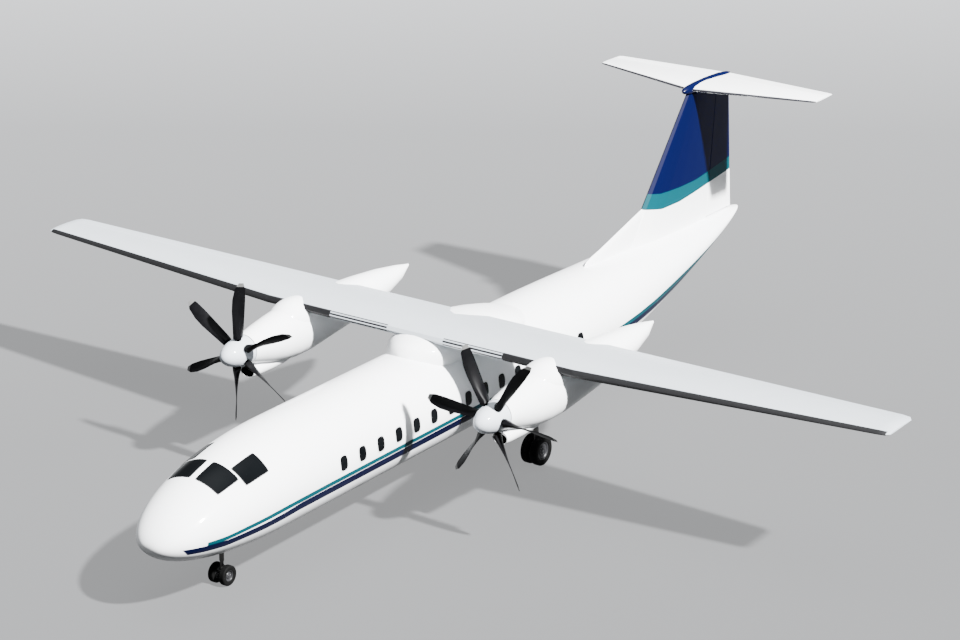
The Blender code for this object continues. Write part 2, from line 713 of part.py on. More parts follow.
set_origin(nose_fork, (0, NOSE_GEAR_Y, nose_axle_z))


def wheel_set(prefix, center, tyre):
    """Twin wheels on one axle, and their two tyres."""
    rim, width, offset = tyre["rim"], tyre["width"], tyre["offset"]
    outer = offset + width * 0.36
    inner = offset - width * 0.30
    profile = [(-outer, 0), (-outer, rim * 0.35), (-outer + 0.03, rim * 0.85), (-outer, rim),
               (-inner, rim), (-inner, tyre["axle"])]
    mirror_profile = [(-a, r) for a, r in reversed(profile)]
    wheels = turned(f"{prefix}wheels", profile + mirror_profile, (0, 0, 0), (1, 0, 0), "gear_paint", WHEEL_SIDES)
    wheels.location = center
    for label, shift in (("outer", offset), ("inner", -offset)):
        half, radius, bead = width / 2, tyre["radius"] / math.cos(math.pi / WHEEL_SIDES), rim + SEAT_GAP
        crown = [(-half * 0.72, bead), (-half, bead * 0.5 + radius * 0.5), (-half * 0.88, radius * 0.95),
                 (-half * 0.60, radius)]
        ring = crown + [(-a, r) for a, r in reversed(crown)]
        tire = turned(f"{prefix}tyre_{label}", ring, (0, 0, 0), (1, 0, 0), "tyre_rubber", WHEEL_SIDES)
        tire.data.transform(Matrix.Translation((shift, 0, 0)))
        tire.location = center
    return wheels


wheel_set("nose_", (0, NOSE_GEAR_Y, nose_axle_z), NOSE_TYRE)
for old, new in (("nose_tyre_outer", "nose_tyre_left"), ("nose_tyre_inner", "nose_tyre_right")):
    bpy.data.objects[old].name = new

# Main gear: a fairing on each side of the belly carries a bent leg that ends between two wheels.
# Fairing: y, centre x, half width, bottom, top
GEAR_FAIRING = (
    (-1.35, 1.10, 0.05, 1.10, 1.40),
    (-1.20, 1.14, 0.24, 0.99, 1.53),
    (-0.90, 1.17, 0.38, 0.90, 1.64),
    (-0.45, 1.20, 0.48, 0.85, 1.72),
    (0.05, 1.20, 0.50, 0.84, 1.73),
    (0.75, 1.18, 0.46, 0.87, 1.68),
    (1.35, 1.15, 0.36, 0.94, 1.53),
    (1.80, 1.11, 0.21, 1.03, 1.36),
    (2.05, 1.08, 0.04, 1.12, 1.24),
)
gear_fairing = loft("gear_fairing_left", [oval(y, wide, low, high, x, 20, 0.85)
                                          for y, x, wide, low, high in GEAR_FAIRING])
cut(gear_fairing, fuselage_cutter(-4.0, 4.4))
# Leg path: x, z, half thickness across the path, half width along Y
gear_x, gear_y = MAIN_GEAR
axle_z = MAIN_TYRE["radius"]
LEG_PATH = (
    (1.300, 1.280, 0.070, 0.130),
    (1.780, 1.180, 0.065, 0.125),
    (1.960, 1.110, 0.055, 0.115),
    (2.040, 1.000, 0.036, 0.105),
    (gear_x, 0.860, 0.030, 0.100),
    (gear_x, 0.480, 0.030, 0.085),
    (gear_x, 0.360, 0.030, 0.060),
)


def leg_ring(index):
    x, z, thick, wide = LEG_PATH[index]
    before, after = LEG_PATH[max(index - 1, 0)], LEG_PATH[min(index + 1, len(LEG_PATH) - 1)]
    run = Vector((after[0] - before[0], 0, after[1] - before[1])).normalized()
    across = Vector((-run.z, 0, run.x))
    points = []
    for step in range(12):
        turn = 2 * math.pi * step / 12
        side = math.copysign(abs(math.cos(turn)) ** 0.5, math.cos(turn)) * thick
        along = math.copysign(abs(math.sin(turn)) ** 0.7, math.sin(turn)) * wide
        points.append(Vector((x, gear_y, z)) + across * side + Vector((0, along, 0)))
    return points


main_leg = loft("main_gear_leg_left", [leg_ring(i) for i in range(len(LEG_PATH))], "gear_paint")
fairing_cutter = loft("cutter", [oval(y, wide + SEAT_GAP, low - SEAT_GAP, high + SEAT_GAP, x, 20, 0.85)
                                 for y, x, wide, low, high in GEAR_FAIRING])
cut(main_leg, fairing_cutter)
cut(main_leg, fuselage_cutter(-1.5, 1.5))
cut(main_leg, rod("cutter", (gear_x - 0.2, gear_y, axle_z), (gear_x + 0.2, gear_y, axle_z),
                  MAIN_TYRE["axle"] + AXLE_PLAY, "gear_paint", WHEEL_SIDES))
wheel_set("main_left_", (gear_x, gear_y, axle_z), MAIN_TYRE)
for name in ("main_left_wheels", "main_left_tyre_outer", "main_left_tyre_inner"):
    mirrored(bpy.data.objects[name], name.replace("left", "right"))
for piece in (gear_fairing, main_leg):
    mirrored(piece, piece.name.replace("left", "right"))
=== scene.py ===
# A high-wing twin turboprop airliner with a T-tail, parked on a pale studio floor.
# Metres, +Z up, nose towards -Y, +X the aircraft's left.
import json
import math

import bpy
from mathutils import Matrix, Vector


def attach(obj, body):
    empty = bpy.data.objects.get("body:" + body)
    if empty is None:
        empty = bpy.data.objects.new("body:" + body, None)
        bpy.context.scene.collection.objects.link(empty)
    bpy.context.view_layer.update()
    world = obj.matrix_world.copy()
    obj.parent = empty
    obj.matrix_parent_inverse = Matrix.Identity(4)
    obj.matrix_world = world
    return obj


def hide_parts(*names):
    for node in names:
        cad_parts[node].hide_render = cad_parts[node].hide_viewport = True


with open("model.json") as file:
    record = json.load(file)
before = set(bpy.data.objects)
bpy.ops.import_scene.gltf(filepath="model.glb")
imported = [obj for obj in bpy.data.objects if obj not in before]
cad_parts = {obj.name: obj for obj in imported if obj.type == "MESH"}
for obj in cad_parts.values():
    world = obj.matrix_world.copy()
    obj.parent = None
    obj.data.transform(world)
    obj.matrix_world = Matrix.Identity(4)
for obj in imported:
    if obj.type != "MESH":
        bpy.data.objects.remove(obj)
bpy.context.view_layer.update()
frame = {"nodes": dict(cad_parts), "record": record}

scene = bpy.context.scene

# Camera: the photograph's viewing angle, a long lens from ahead of the left wing tip.
# The place, angles and lens were solved from the aircraft's own mirror symmetry.
CAMERA_PLACE = Vector((45.4228, -65.5222, 32.7133))
CAMERA_AZIMUTH, CAMERA_ELEVATION, CAMERA_ROLL = (math.radians(a) for a in (34.6999, 20.0494, 0.1766))
CAMERA_LENS = 117.952
look = Vector((-math.sin(CAMERA_AZIMUTH) * math.cos(CAMERA_ELEVATION),
               math.cos(CAMERA_AZIMUTH) * math.cos(CAMERA_ELEVATION), -math.sin(CAMERA_ELEVATION)))
level = look.cross(Vector((0, 0, 1))).normalized()
upright = level.cross(look)
across = level * math.cos(CAMERA_ROLL) + upright * math.sin(CAMERA_ROLL)
above = upright * math.cos(CAMERA_ROLL) - level * math.sin(CAMERA_ROLL)
camera = bpy.data.objects.new("camera", bpy.data.cameras.new("camera"))
camera.data.lens = CAMERA_LENS
camera.data.sensor_width = 36
camera.data.clip_end = 5000
camera.matrix_world = Matrix.Translation(CAMERA_PLACE) @ Matrix((across, above, -look)).transposed().to_4x4()
scene.collection.objects.link(camera)
scene.camera = camera


class Number:
    """A number that varies over a surface; the usual signs on it add its Math nodes."""

    def __init__(self, finish, socket):
        self.finish, self.socket = finish, socket

    def math(self, operation, *values):
        return self.finish.node("ShaderNodeMath", {"operation": operation}, values)

    def __add__(self, other):
        return self.math("ADD", self, other)

    def __sub__(self, other):
        return self.math("SUBTRACT", self, other)

    def __rsub__(self, other):
        return self.math("SUBTRACT", other, self)

    def __mul__(self, other):
        return self.math("MULTIPLY", self, other)

    def __truediv__(self, other):
        return self.math("DIVIDE", self, other)

    def __abs__(self):
        return self.math("ABSOLUTE", self)

    def over(self, limit, soft):
        """1 above the limit and 0 below it, with an edge that is soft metres wide."""
        edge = (self - limit) / soft + 0.5
        return self.finish.node("ShaderNodeClamp", {}, (edge,))

    def band(self, middle, half, soft):
        """1 within half of the middle and 0 outside it."""
        edge = (half - abs(self - middle)) / soft + 0.5
        return self.finish.node("ShaderNodeClamp", {}, (edge,))


class Finish:
    """One paint or material: a Principled shader and the nodes that vary it over the surface."""

    def __init__(self, name, roughness=0.5, **sockets):
        self.material = bpy.data.materials.new(name)
        self.material.use_nodes = True
        self.tree = self.material.node_tree
        self.shader = self.tree.nodes["Principled BSDF"]
        self.shader.inputs["Roughness"].default_value = roughness
        for socket, value in sockets.items():
            self.shader.inputs[socket.replace("_", " ").title().replace("Ior", "IOR")].default_value = value

    def node(self, kind, settings, values=(), output=0):
        """Any node: its settings first, then its sockets by place or by name."""
        made = self.tree.nodes.new(kind)
        for setting, value in settings.items():
            if setting == "stops":
                ramp = made.color_ramp
                while len(ramp.elements) < len(value):
                    ramp.elements.new(0.5)
                for element, (place, tone) in zip(ramp.elements, value):
                    element.position = place
                    element.color = tone if isinstance(tone, tuple) else (tone, tone, tone, 1)
            else:
                setattr(made, setting, value)
        pairs = values.items() if isinstance(values, dict) else enumerate(values)
        for socket, value in pairs:
            if isinstance(value, Number):
                self.tree.links.new(value.socket, made.inputs[socket])
            else:
                made.inputs[socket].default_value = value
        return Number(self, made.outputs[output])

    def place(self):
        """X, Y and Z of the surface point, in metres in the aircraft's own frame."""
        point = self.node("ShaderNodeTexCoord", {}, output="Object")
        return [self.node("ShaderNodeSeparateXYZ", {}, (point,), axis) for axis in "XYZ"]

    def grain(self, scale, detail=3.0):
        """Cloudy variation from 0 to 1, scale patches to the metre."""
        point = self.node("ShaderNodeTexCoord", {}, output="Object")
        return self.node("ShaderNodeTexNoise", {}, {"Vector": point, "Scale": scale, "Detail": detail})

    def curve(self, value, points, low, high):
        """A line through (value, height) points; heights lie between low and high."""
        first, last = points[0][0], points[-1][0]
        stops = [((a - first) / (last - first), (b - low) / (high - low)) for a, b in points]
        return self.node("ShaderNodeValToRGB", {"stops": stops}, ((value - first) / (last - first),)) \
            * (high - low) + low

    def mix(self, amount, first, second):
        """The first colour where the amount is 0 and the second where it is 1."""
        made = self.tree.nodes.new("ShaderNodeMix")
        made.data_type = "RGBA"
        for socket, value in ((0, amount), (6, first), (7, second)):
            if isinstance(value, Number):
                self.tree.links.new(value.socket, made.inputs[socket])
            else:
                made.inputs[socket].default_value = value if socket == 0 else (*value, 1)
        return Number(self, made.outputs[2])

    def feed(self, socket, value):
        """Let a varying number or colour drive one socket of the shader."""
        self.tree.links.new(value.socket, self.shader.inputs[socket])

    def bump(self, height, distance, strength=1.0):
        """Relief in the surface, distance metres deep where the height goes from 0 to 1."""
        relief = {"Height": height, "Distance": distance, "Strength": strength}
        self.feed("Normal", self.node("ShaderNodeBump", {}, relief))


# Floor and light: one wide pale grey floor, painted darker near the camera and lighter far off as
# painted light, a distant lamp halfway up on the aircraft's left, and a sky, brightest overhead, that
# fills the shadows. The floor glows a little, so the shadow on it stays pale, and it throws no diffuse
# light on the aircraft, whose shaded sides stay dark.
FLOOR_SIZE = 6000
SUN_AIM = Vector((0.976, -0.085, 1.0))
SUN_STRENGTH = 28.0
SKY_LOW, SKY_ZENITH, SKY_BELOW = 0.15, 4.0, 0.06
FLOOR_GLOW = 0.35
bpy.ops.mesh.primitive_plane_add(size=FLOOR_SIZE)
floor = bpy.context.object
floor.name = "floor"
floor_paint = Finish("studio_floor", roughness=0.9, specular_ior_level=0.1)
floor_x, floor_y, _ = floor_paint.place()
depth = floor_y * math.cos(CAMERA_AZIMUTH) - floor_x * math.sin(CAMERA_AZIMUTH)
# Painted light: the floor's colour runs from darker near the camera to lighter far from it, standing in for
# the way the light falls across the floor.
FLOOR_PAINTED_LIGHT = [(-40.0, 0.040), (0.0, 0.050), (30.0, 0.078), (60.0, 0.170)]
floor_painted_light = floor_paint.curve(depth, FLOOR_PAINTED_LIGHT, 0.0, 1.0)
floor_paint.feed("Base Color", floor_paint.mix(floor_painted_light, (0, 0, 0), (0.985, 1.0, 1.03)))
floor_glow = floor_paint.mix(floor_paint.grain(0.05), (0.985, 1.0, 1.025), (1.0, 1.005, 1.02))
floor_paint.feed("Emission Color", floor_glow)
floor_paint.shader.inputs["Emission Strength"].default_value = FLOOR_GLOW
floor.data.materials.append(floor_paint.material)
floor.visible_diffuse = False

sun = bpy.data.objects.new("studio_lamp", bpy.data.lights.new("studio_lamp", "SUN"))
sun.data.energy = SUN_STRENGTH
sun.data.angle = math.radians(2.5)
sun.matrix_world = SUN_AIM.to_track_quat("Z", "Y").to_matrix().to_4x4()
scene.collection.objects.link(sun)
sky = bpy.data.worlds.new("studio_sky")
scene.world = sky
sky.use_nodes = True
sky_nodes, sky_links = sky.node_tree.nodes, sky.node_tree.links
sky_nodes["Background"].inputs["Color"].default_value = (0.94, 0.97, 1.0, 1)
direction = sky_nodes.new("ShaderNodeTexCoord")
rise = sky_nodes.new("ShaderNodeSeparateXYZ")
glow = sky_nodes.new("ShaderNodeFloatCurve")
span = sky_nodes.new("ShaderNodeMapRange")
sky_links.new(direction.outputs["Generated"], rise.inputs[0])
sky_links.new(rise.outputs["Z"], span.inputs["Value"])
span.inputs["From Min"].default_value = -1.0
sky_links.new(span.outputs[0], glow.inputs["Value"])
# Height in the sky, from 0 straight down over 0.5 at the horizon to 1 straight up, and the
# brightness there as a share of the zenith's
SKY_STEPS = ((0.495, SKY_BELOW / SKY_ZENITH), (0.505, 0.20), (0.55, 0.13), (0.62, SKY_LOW / SKY_ZENITH),
             (0.75, 0.055), (0.92, 0.20))
points = glow.mapping.curves[0].points
points[0].location = (0.0, SKY_BELOW / SKY_ZENITH)
points[1].location = (1.0, 1.0)
for place in SKY_STEPS:
    points.new(*place)
for point in points:
    point.handle_type = "VECTOR"
glow.mapping.update()
strength = sky_nodes.new("ShaderNodeMath")
strength.operation = "MULTIPLY"
strength.inputs[1].default_value = SKY_ZENITH
sky_links.new(glow.outputs[0], strength.inputs[0])
sky_links.new(strength.outputs[0], sky_nodes["Background"].inputs["Strength"])

# Fuselage: one skin of painted alloy in place of the five packed sections, 96 sides round and
# drawn to the same nose and tail tapers. Each taper is (length, inner power, outer power).
LENGTH = 27.506
NOSE_Y, TAIL_Y = -13.757, 13.757
AXIS_TOP, BELLY_Z, FUSELAGE_RADIUS = 3.68, 0.97, 1.43
NOSE_TIP_Z, TAIL_TIP_Z = 1.95, 3.25
NOSE_TAPER = {"top": (5.2, 2.16, 0.63), "bottom": (4.0, 1.90, 0.455), "side": (6.0, 3.5, 0.44)}
TAIL_TAPER = {"top": (11.65, 1.44, 0.70), "bottom": (8.50, 1.25, 1.18), "side": (11.7, 1.88, 0.65)}
FUSELAGE_SIDES = 96
FUSELAGE_CUTS = 131
TIP_BLUNTNESS = 0.004
CROWDING = 0.93
WHITE = (0.88, 0.89, 0.90)
NAVY = (0.0002, 0.0010, 0.0150)
TEAL = (0.0, 0.040, 0.052)


def fuselage_box(y):
    """Half width, lowest and highest Z of the fuselage at a station."""
    tapers, tip, distance = ((NOSE_TAPER, NOSE_TIP_Z, y - NOSE_Y) if y < 0
                             else (TAIL_TAPER, TAIL_TIP_Z, TAIL_Y - y))
    part = {}
    for line, (length, inner, outer) in tapers.items():
        reach = min(max(distance / length, 0.0), 1.0)
        part[line] = (1 - (1 - reach) ** inner) ** outer
    return (FUSELAGE_RADIUS * part["side"], tip - (tip - BELLY_Z) * part["bottom"],
            tip + (AXIS_TOP - tip) * part["top"])


def alone(piece):
    """Leave only this piece selected, because an operator acts on all that is selected."""
    if bpy.context.mode != "OBJECT":
        bpy.ops.object.mode_set(mode="OBJECT")
    bpy.ops.object.select_all(action="DESELECT")
    piece.select_set(True)
    bpy.context.view_layer.objects.active = piece
    return piece


def fuselage_point(y, turn, proud=0.0):
    """A point of the skin at a station and an angle from the top, proud metres outside it."""
    half_width, low, high = fuselage_box(y)
    return Vector(((half_width + proud) * math.sin(turn), y,
                   (low + high) / 2 + ((high - low) / 2 + proud) * math.cos(turn)))


bpy.ops.object.select_all(action="DESELECT")
bpy.ops.mesh.primitive_cylinder_add(vertices=FUSELAGE_SIDES, radius=1, depth=1, rotation=(math.pi / 2, 0, 0))
fuselage = alone(bpy.context.object)
fuselage.name = "fuselage_skin"
bpy.ops.object.transform_apply(location=False, rotation=True, scale=True)
for edge in fuselage.data.edges:
    ends = [fuselage.data.vertices[i].co.y for i in edge.vertices]
    edge.select = abs(ends[0] - ends[1]) > 0.5
for face in fuselage.data.polygons:
    face.select = False
for vertex in fuselage.data.vertices:
    vertex.select = False
bpy.context.tool_settings.mesh_select_mode = (False, True, False)
bpy.ops.object.mode_set(mode="EDIT")
bpy.ops.mesh.subdivide(number_cuts=FUSELAGE_CUTS)
bpy.ops.object.mode_set(mode="OBJECT")
for vertex in fuselage.data.vertices:
    reach = vertex.co.y + 0.5
    drawn = reach - math.sin(2 * math.pi * reach) / (2 * math.pi) * CROWDING
    y = NOSE_Y + TIP_BLUNTNESS + LENGTH * drawn
    vertex.co = fuselage_point(min(y, TAIL_Y - TIP_BLUNTNESS), math.atan2(vertex.co.x, vertex.co.z))
bpy.ops.object.mode_set(mode="EDIT")
bpy.ops.mesh.select_all(action="SELECT")
bpy.ops.mesh.normals_make_consistent(inside=False)
bpy.ops.object.mode_set(mode="OBJECT")
bpy.ops.object.shade_smooth_by_angle(angle=math.radians(40))


def white_gloss(name, colour=WHITE, roughness=0.28):
    """Clean gloss paint: faint cloudy tone, softer and glossier patches, and a trace of orange peel."""
    paint = Finish(name, roughness, coat_roughness=0.08, coat_weight=0.2, specular_ior_level=0.05)
    cloud = paint.grain(0.7, 4.0)
    paint.tint = paint.mix(cloud, [c * 0.975 for c in colour], [min(c * 1.02, 1) for c in colour])
    paint.feed("Base Color", paint.tint)
    paint.feed("Roughness", paint.grain(1.3, 5.0) * 0.10 + (roughness - 0.05))
    paint.bump(paint.grain(9.0, 2.0), 0.0006)
    return paint


fuselage_paint = white_gloss("fuselage_paint")
_, station, height = fuselage_paint.place()
TEAL_LINE = [(-13.76, 1.915), (-12.76, 1.923), (-12.21, 1.933), (-11.58, 1.985), (-10.87, 2.019),
             (-10.25, 2.050), (-9.67, 2.066), (-8.47, 2.080), (3.0, 2.078), (4.6, 2.100), (6.16, 2.201),
             (7.14, 2.300), (7.89, 2.405), (8.68, 2.520), (10.5, 2.780), (12.4, 3.040), (13.76, 3.200)]
NAVY_LINE = [(-13.76, 1.840), (-13.28, 1.830), (-12.75, 1.802), (-12.16, 1.774), (-11.52, 1.797),
             (-10.80, 1.804), (-10.18, 1.834), (-9.60, 1.882), (-8.40, 1.888), (3.0, 1.885), (4.6, 1.920),
             (6.00, 2.020), (7.24, 2.140), (8.00, 2.250), (8.81, 2.370), (10.5, 2.650), (12.4, 2.970),
             (13.76, 3.170)]
TEAL_HALF = [(-13.76, 0.058), (-11.00, 0.062), (-9.40, 0.067), (5.0, 0.067), (9.0, 0.070), (13.76, 0.040)]
NAVY_HALF = [(-13.76, 0.078), (-12.75, 0.092), (-11.00, 0.098), (-9.40, 0.113), (5.0, 0.113), (9.0, 0.100),
             (13.76, 0.040)]
LINE_LIMITS = (1.0, 4.0)
TEAL_START, NAVY_START, NAVY_START_Z = -12.76, -13.28, 1.83
PAINT_EDGE = 0.006
teal_middle = fuselage_paint.curve(station, TEAL_LINE, *LINE_LIMITS)
navy_middle = fuselage_paint.curve(station, NAVY_LINE, *LINE_LIMITS)
teal_half = fuselage_paint.curve(station, TEAL_HALF, 0.0, 0.1)
navy_half = fuselage_paint.curve(station, NAVY_HALF, 0.0, 0.2)
teal = height.band(teal_middle, teal_half, PAINT_EDGE) * station.over(TEAL_START, 0.02)
navy = height.band(navy_middle, navy_half, PAINT_EDGE) \
    * (station + (height - NAVY_START_Z) * 0.9).over(NAVY_START, 0.02)
striped = fuselage_paint.mix(teal, fuselage_paint.tint, TEAL)
fuselage_paint.feed("Base Color", fuselage_paint.mix(navy, striped, NAVY))
fuselage_paint.feed("Coat Weight", (1 - teal) * (1 - navy) * 0.25)
fuselage.data.materials.append(fuselage_paint.material)
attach(fuselage, "airframe")
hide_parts("radome", "cockpit_section", "cabin_section", "rear_fuselage", "tail_cone")

# Cockpit panes: thick dark laminated glass in the nose, each with a thin black seal round it,
# a grid bent onto the skin between two stations and two angles from the top.
PANES = (("windshield", -12.075, -11.365, 4.4, 40.6), ("side_window", -11.292, -10.485, 25.6, 51.1))
PANE_PROUD, PANE_THICKNESS = 0.006, 0.02
SEAL_WIDTH, SEAL_TURN = 0.018, 0.85
PANE_CORNER_PULL = 0.035
glass = Finish("pane_glass", 0.07, specular_ior_level=0.06)
glass.feed("Base Color", glass.mix(glass.grain(2.0), (0.0012, 0.0015, 0.0018), (0.0025, 0.003, 0.0035)))
glass.feed("Roughness", glass.grain(5.0) * 0.05 + 0.05)
glass.bump(glass.grain(1.5, 1.0), 0.002)
seal = Finish("pane_seal", 0.55)
seal.feed("Base Color", seal.mix(seal.grain(30.0), (0.012, 0.012, 0.013), (0.03, 0.03, 0.032)))
seal.bump(seal.grain(120.0), 0.0005)


def skin_patch(name, front, rear, inner, outer, side, proud, thick, rows=12, columns=14):
    """A closed pane bent to the skin, its corners drawn in a little, proud metres outside it."""
    bpy.ops.object.select_all(action="DESELECT")
    bpy.ops.mesh.primitive_grid_add(x_subdivisions=columns, y_subdivisions=rows, size=2)
    piece = alone(bpy.context.object)
    piece.name = name
    length = rear - front
    for vertex in piece.data.vertices:
        u, v = vertex.co.x, vertex.co.y
        pull = 1 - PANE_CORNER_PULL * (abs(u) ** 8) * (abs(v) ** 8)
        y = (front + rear) / 2 + length / 2 * u * pull
        turn = math.radians((inner + outer) / 2 + (outer - inner) / 2 * v * pull)
        vertex.co = fuselage_point(y, side * turn, proud)
    bpy.ops.object.mode_set(mode="EDIT")
    bpy.ops.mesh.select_all(action="SELECT")
    bpy.ops.mesh.normals_make_consistent(inside=False)
    bpy.ops.object.mode_set(mode="OBJECT")
    middle = piece.data.polygons[len(piece.data.polygons) // 2]
    if middle.normal.dot(Vector((middle.center.x, 0, middle.center.z - 2))) < 0:
        piece.data.flip_normals()
    wall = piece.modifiers.new("wall", "SOLIDIFY")
    wall.thickness = thick
    wall.offset = -1
    edge = piece.modifiers.new("edge", "BEVEL")
    edge.width = thick * 0.25
    edge.segments = 2
    edge.angle_limit = math.radians(50)
    for modifier in ("wall", "edge"):
        bpy.ops.object.modifier_apply(modifier=modifier)
    bpy.ops.object.shade_smooth_by_angle(angle=math.radians(40))
    return piece


for pane, front, rear, inner, outer in PANES:
    for side_name, side in (("left", 1), ("right", -1)):
        piece = skin_patch(f"{pane}_{side_name}_glass", front, rear, inner, outer, side, PANE_PROUD,
                           PANE_THICKNESS)
        piece.data.materials.append(glass.material)
        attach(piece, "airframe")
        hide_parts(f"{pane}_{side_name}")
        piece = skin_patch(f"{pane}_{side_name}_seal", front - SEAL_WIDTH, rear + SEAL_WIDTH,
                           inner - SEAL_TURN, outer + SEAL_TURN, side, PANE_PROUD * 0.4, PANE_THICKNESS)
        piece.data.materials.append(seal.material)
        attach(piece, "airframe")

# Cabin windows: fifteen small stretched panes on each side, each in a narrow raised frame.
# Each is a rounded outline, thickened and rounded at its edge, then bent to the fuselage.
WINDOW_COUNT = 15
WINDOW_FIRST_Y, WINDOW_PITCH, WINDOW_Z = -7.90, 0.773, 2.47
WINDOW_SIZE = (0.32, 0.42)
WINDOW_CORNER, WINDOW_SIDES = 3.2, 32
WINDOW_WALL = 0.012
WINDOW_INSETS = ((0.010, 0.002), (0.05, 0.0), (0.04, 0.0))
window_frame = Finish("window_frame", 0.4)
frame_tone = window_frame.mix(window_frame.grain(20.0), (0.72, 0.73, 0.74), (0.78, 0.79, 0.80))
window_frame.feed("Base Color", frame_tone)
window_frame.bump(window_frame.grain(60.0), 0.0004)


def window_ring(share):
    """Points (y, z) of a rounded window outline, share of its full size."""
    ring = []
    for step in range(WINDOW_SIDES):
        turn = 2 * math.pi * step / WINDOW_SIDES
        waves = ((math.cos(turn), WINDOW_SIZE[0]), (math.sin(turn), WINDOW_SIZE[1]))
        ring.append([math.copysign(abs(wave) ** (2 / WINDOW_CORNER), wave) * size / 2 * share
                     for wave, size in waves])
    return ring


# Part, share of the window's size, height over the skin, finish and slot
WINDOW_PARTS = (("pane", 0.93, 0.003, glass, "dark_glass"),
                ("frame", 1.10, 0.0015, window_frame, "white_paint"))
for side_name, side in (("left", 1), ("right", -1)):
    for part, share, proud, finish, slot in WINDOW_PARTS:
        copies = []
        for number in range(WINDOW_COUNT):
            bpy.ops.object.select_all(action="DESELECT")
            bpy.ops.mesh.primitive_circle_add(vertices=WINDOW_SIDES, radius=1, fill_type="NGON")
            copy = alone(bpy.context.object)
            for vertex, (y, z) in zip(copy.data.vertices, window_ring(share)):
                vertex.co = (y, z, 0)
            bpy.ops.object.mode_set(mode="EDIT")
            bpy.ops.mesh.select_all(action="SELECT")
            bpy.ops.mesh.extrude_region_move(TRANSFORM_OT_translate={"value": (0, 0, WINDOW_WALL)})
            for thickness, rise in WINDOW_INSETS:
                bpy.ops.mesh.inset(thickness=thickness, depth=rise)
            bpy.ops.object.mode_set(mode="OBJECT")
            middle_y = WINDOW_FIRST_Y + WINDOW_PITCH * number
            for vertex in copy.data.vertices:
                along, rise, lift = vertex.co
                half_width, low, high = fuselage_box(middle_y + along)
                turn = math.acos(max(-1, min(1, (WINDOW_Z + rise - (low + high) / 2) / ((high - low) / 2))))
                vertex.co = fuselage_point(middle_y + along, side * turn, proud - WINDOW_WALL + lift)
            copies.append(copy)
        piece = alone(copies[0])
        for copy in copies[1:]:
            copy.select_set(True)
        bpy.ops.object.join()
        piece.name = f"cabin_window_{part}s_{side_name}"
        bpy.ops.object.mode_set(mode="EDIT")
        bpy.ops.mesh.select_all(action="SELECT")
        bpy.ops.mesh.normals_make_consistent(inside=False)
        bpy.ops.object.mode_set(mode="OBJECT")
        bpy.ops.object.shade_smooth_by_angle(angle=math.radians(30))
        piece.data.materials.append(finish.material)
        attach(piece, "airframe")

# Fairings, dorsal fin and nacelles: composite shells in the fuselage's white.
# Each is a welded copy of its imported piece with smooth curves, shown in its place.
body_of = {node: body for body, nodes in frame["record"]["behaviour"]["bodies"].items() for node in nodes}


def skin(node, finish, angle=38):
    """A welded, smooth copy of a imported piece, which stands for it."""
    bpy.ops.object.select_all(action="DESELECT")
    piece = bpy.data.objects.new(f"{node}_skin", frame["nodes"][node].data.copy())
    scene.collection.objects.link(piece)
    alone(piece)
    piece.data.materials.clear()
    piece.data.materials.append(finish.material)
    bpy.ops.object.mode_set(mode="EDIT")
    bpy.ops.mesh.select_all(action="SELECT")
    bpy.ops.mesh.remove_doubles(threshold=0.00005)
    bpy.ops.object.mode_set(mode="OBJECT")
    if piece.data.has_custom_normals:
        bpy.ops.mesh.customdata_custom_splitnormals_clear()
    bpy.ops.object.shade_smooth_by_angle(angle=math.radians(angle))
    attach(piece, body_of[node])
    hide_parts(node)
    return piece


shell_paint = white_gloss("shell_paint")
for node in ("wing_fairing", "gear_fairing_left", "gear_fairing_right", "dorsal_fin", "nacelle_left",
             "nacelle_right"):
    skin(node, shell_paint)

# Nacelle shoulders: a short composite blister carries the top of each cowl over the leading edge
# of the wing. A squashed ball, sunk into the cowl and the wing's upper skin.
SHOULDER = {"x": 4.065, "y": -2.80, "z": 3.70, "size": (0.61, 0.98, 0.545)}
for side_name, side in (("left", 1), ("right", -1)):
    bpy.ops.object.select_all(action="DESELECT")
    bpy.ops.mesh.primitive_uv_sphere_add(segments=64, ring_count=40, radius=1,
                                         location=(side * SHOULDER["x"], SHOULDER["y"], SHOULDER["z"]))
    shoulder = alone(bpy.context.object)
    shoulder.name = f"nacelle_shoulder_{side_name}"
    shoulder.scale = SHOULDER["size"]
    bpy.ops.object.transform_apply()
    bpy.ops.object.shade_smooth()
    shoulder.data.materials.append(shell_paint.material)
    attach(shoulder, "airframe")

# Chin intakes: white lips round a duct 0.6 m deep, its inside painted near-black as painted shade.
intake_paint = white_gloss("intake_paint")
intake_x, intake_y, intake_z = intake_paint.place()
MOUTH = {"x": 4.065, "z": 2.759, "half_width": 0.216, "half_height": 0.145}
DUCT_FRONT, DUCT_REAR = -4.896, -4.28
mouth_x = (abs(intake_x) - MOUTH["x"]) / MOUTH["half_width"]
mouth_z = (intake_z - MOUTH["z"]) / MOUTH["half_height"]
# Painted shade: inside the mouth and back to the end of the duct, the colour is near-black, standing in for
# the shade deep in the intake.
duct_painted_shade = (1.0 - (mouth_x * mouth_x + mouth_z * mouth_z)).over(0.0, 0.03) \
    * (1 - intake_y.over(DUCT_REAR, 0.01)) * intake_y.over(DUCT_FRONT, 0.004)
intake_paint.feed("Base Color", intake_paint.mix(duct_painted_shade, intake_paint.tint, (0.006, 0.006, 0.007)))
for node in ("intake_scoop_left", "intake_scoop_right"):
    skin(node, intake_paint)

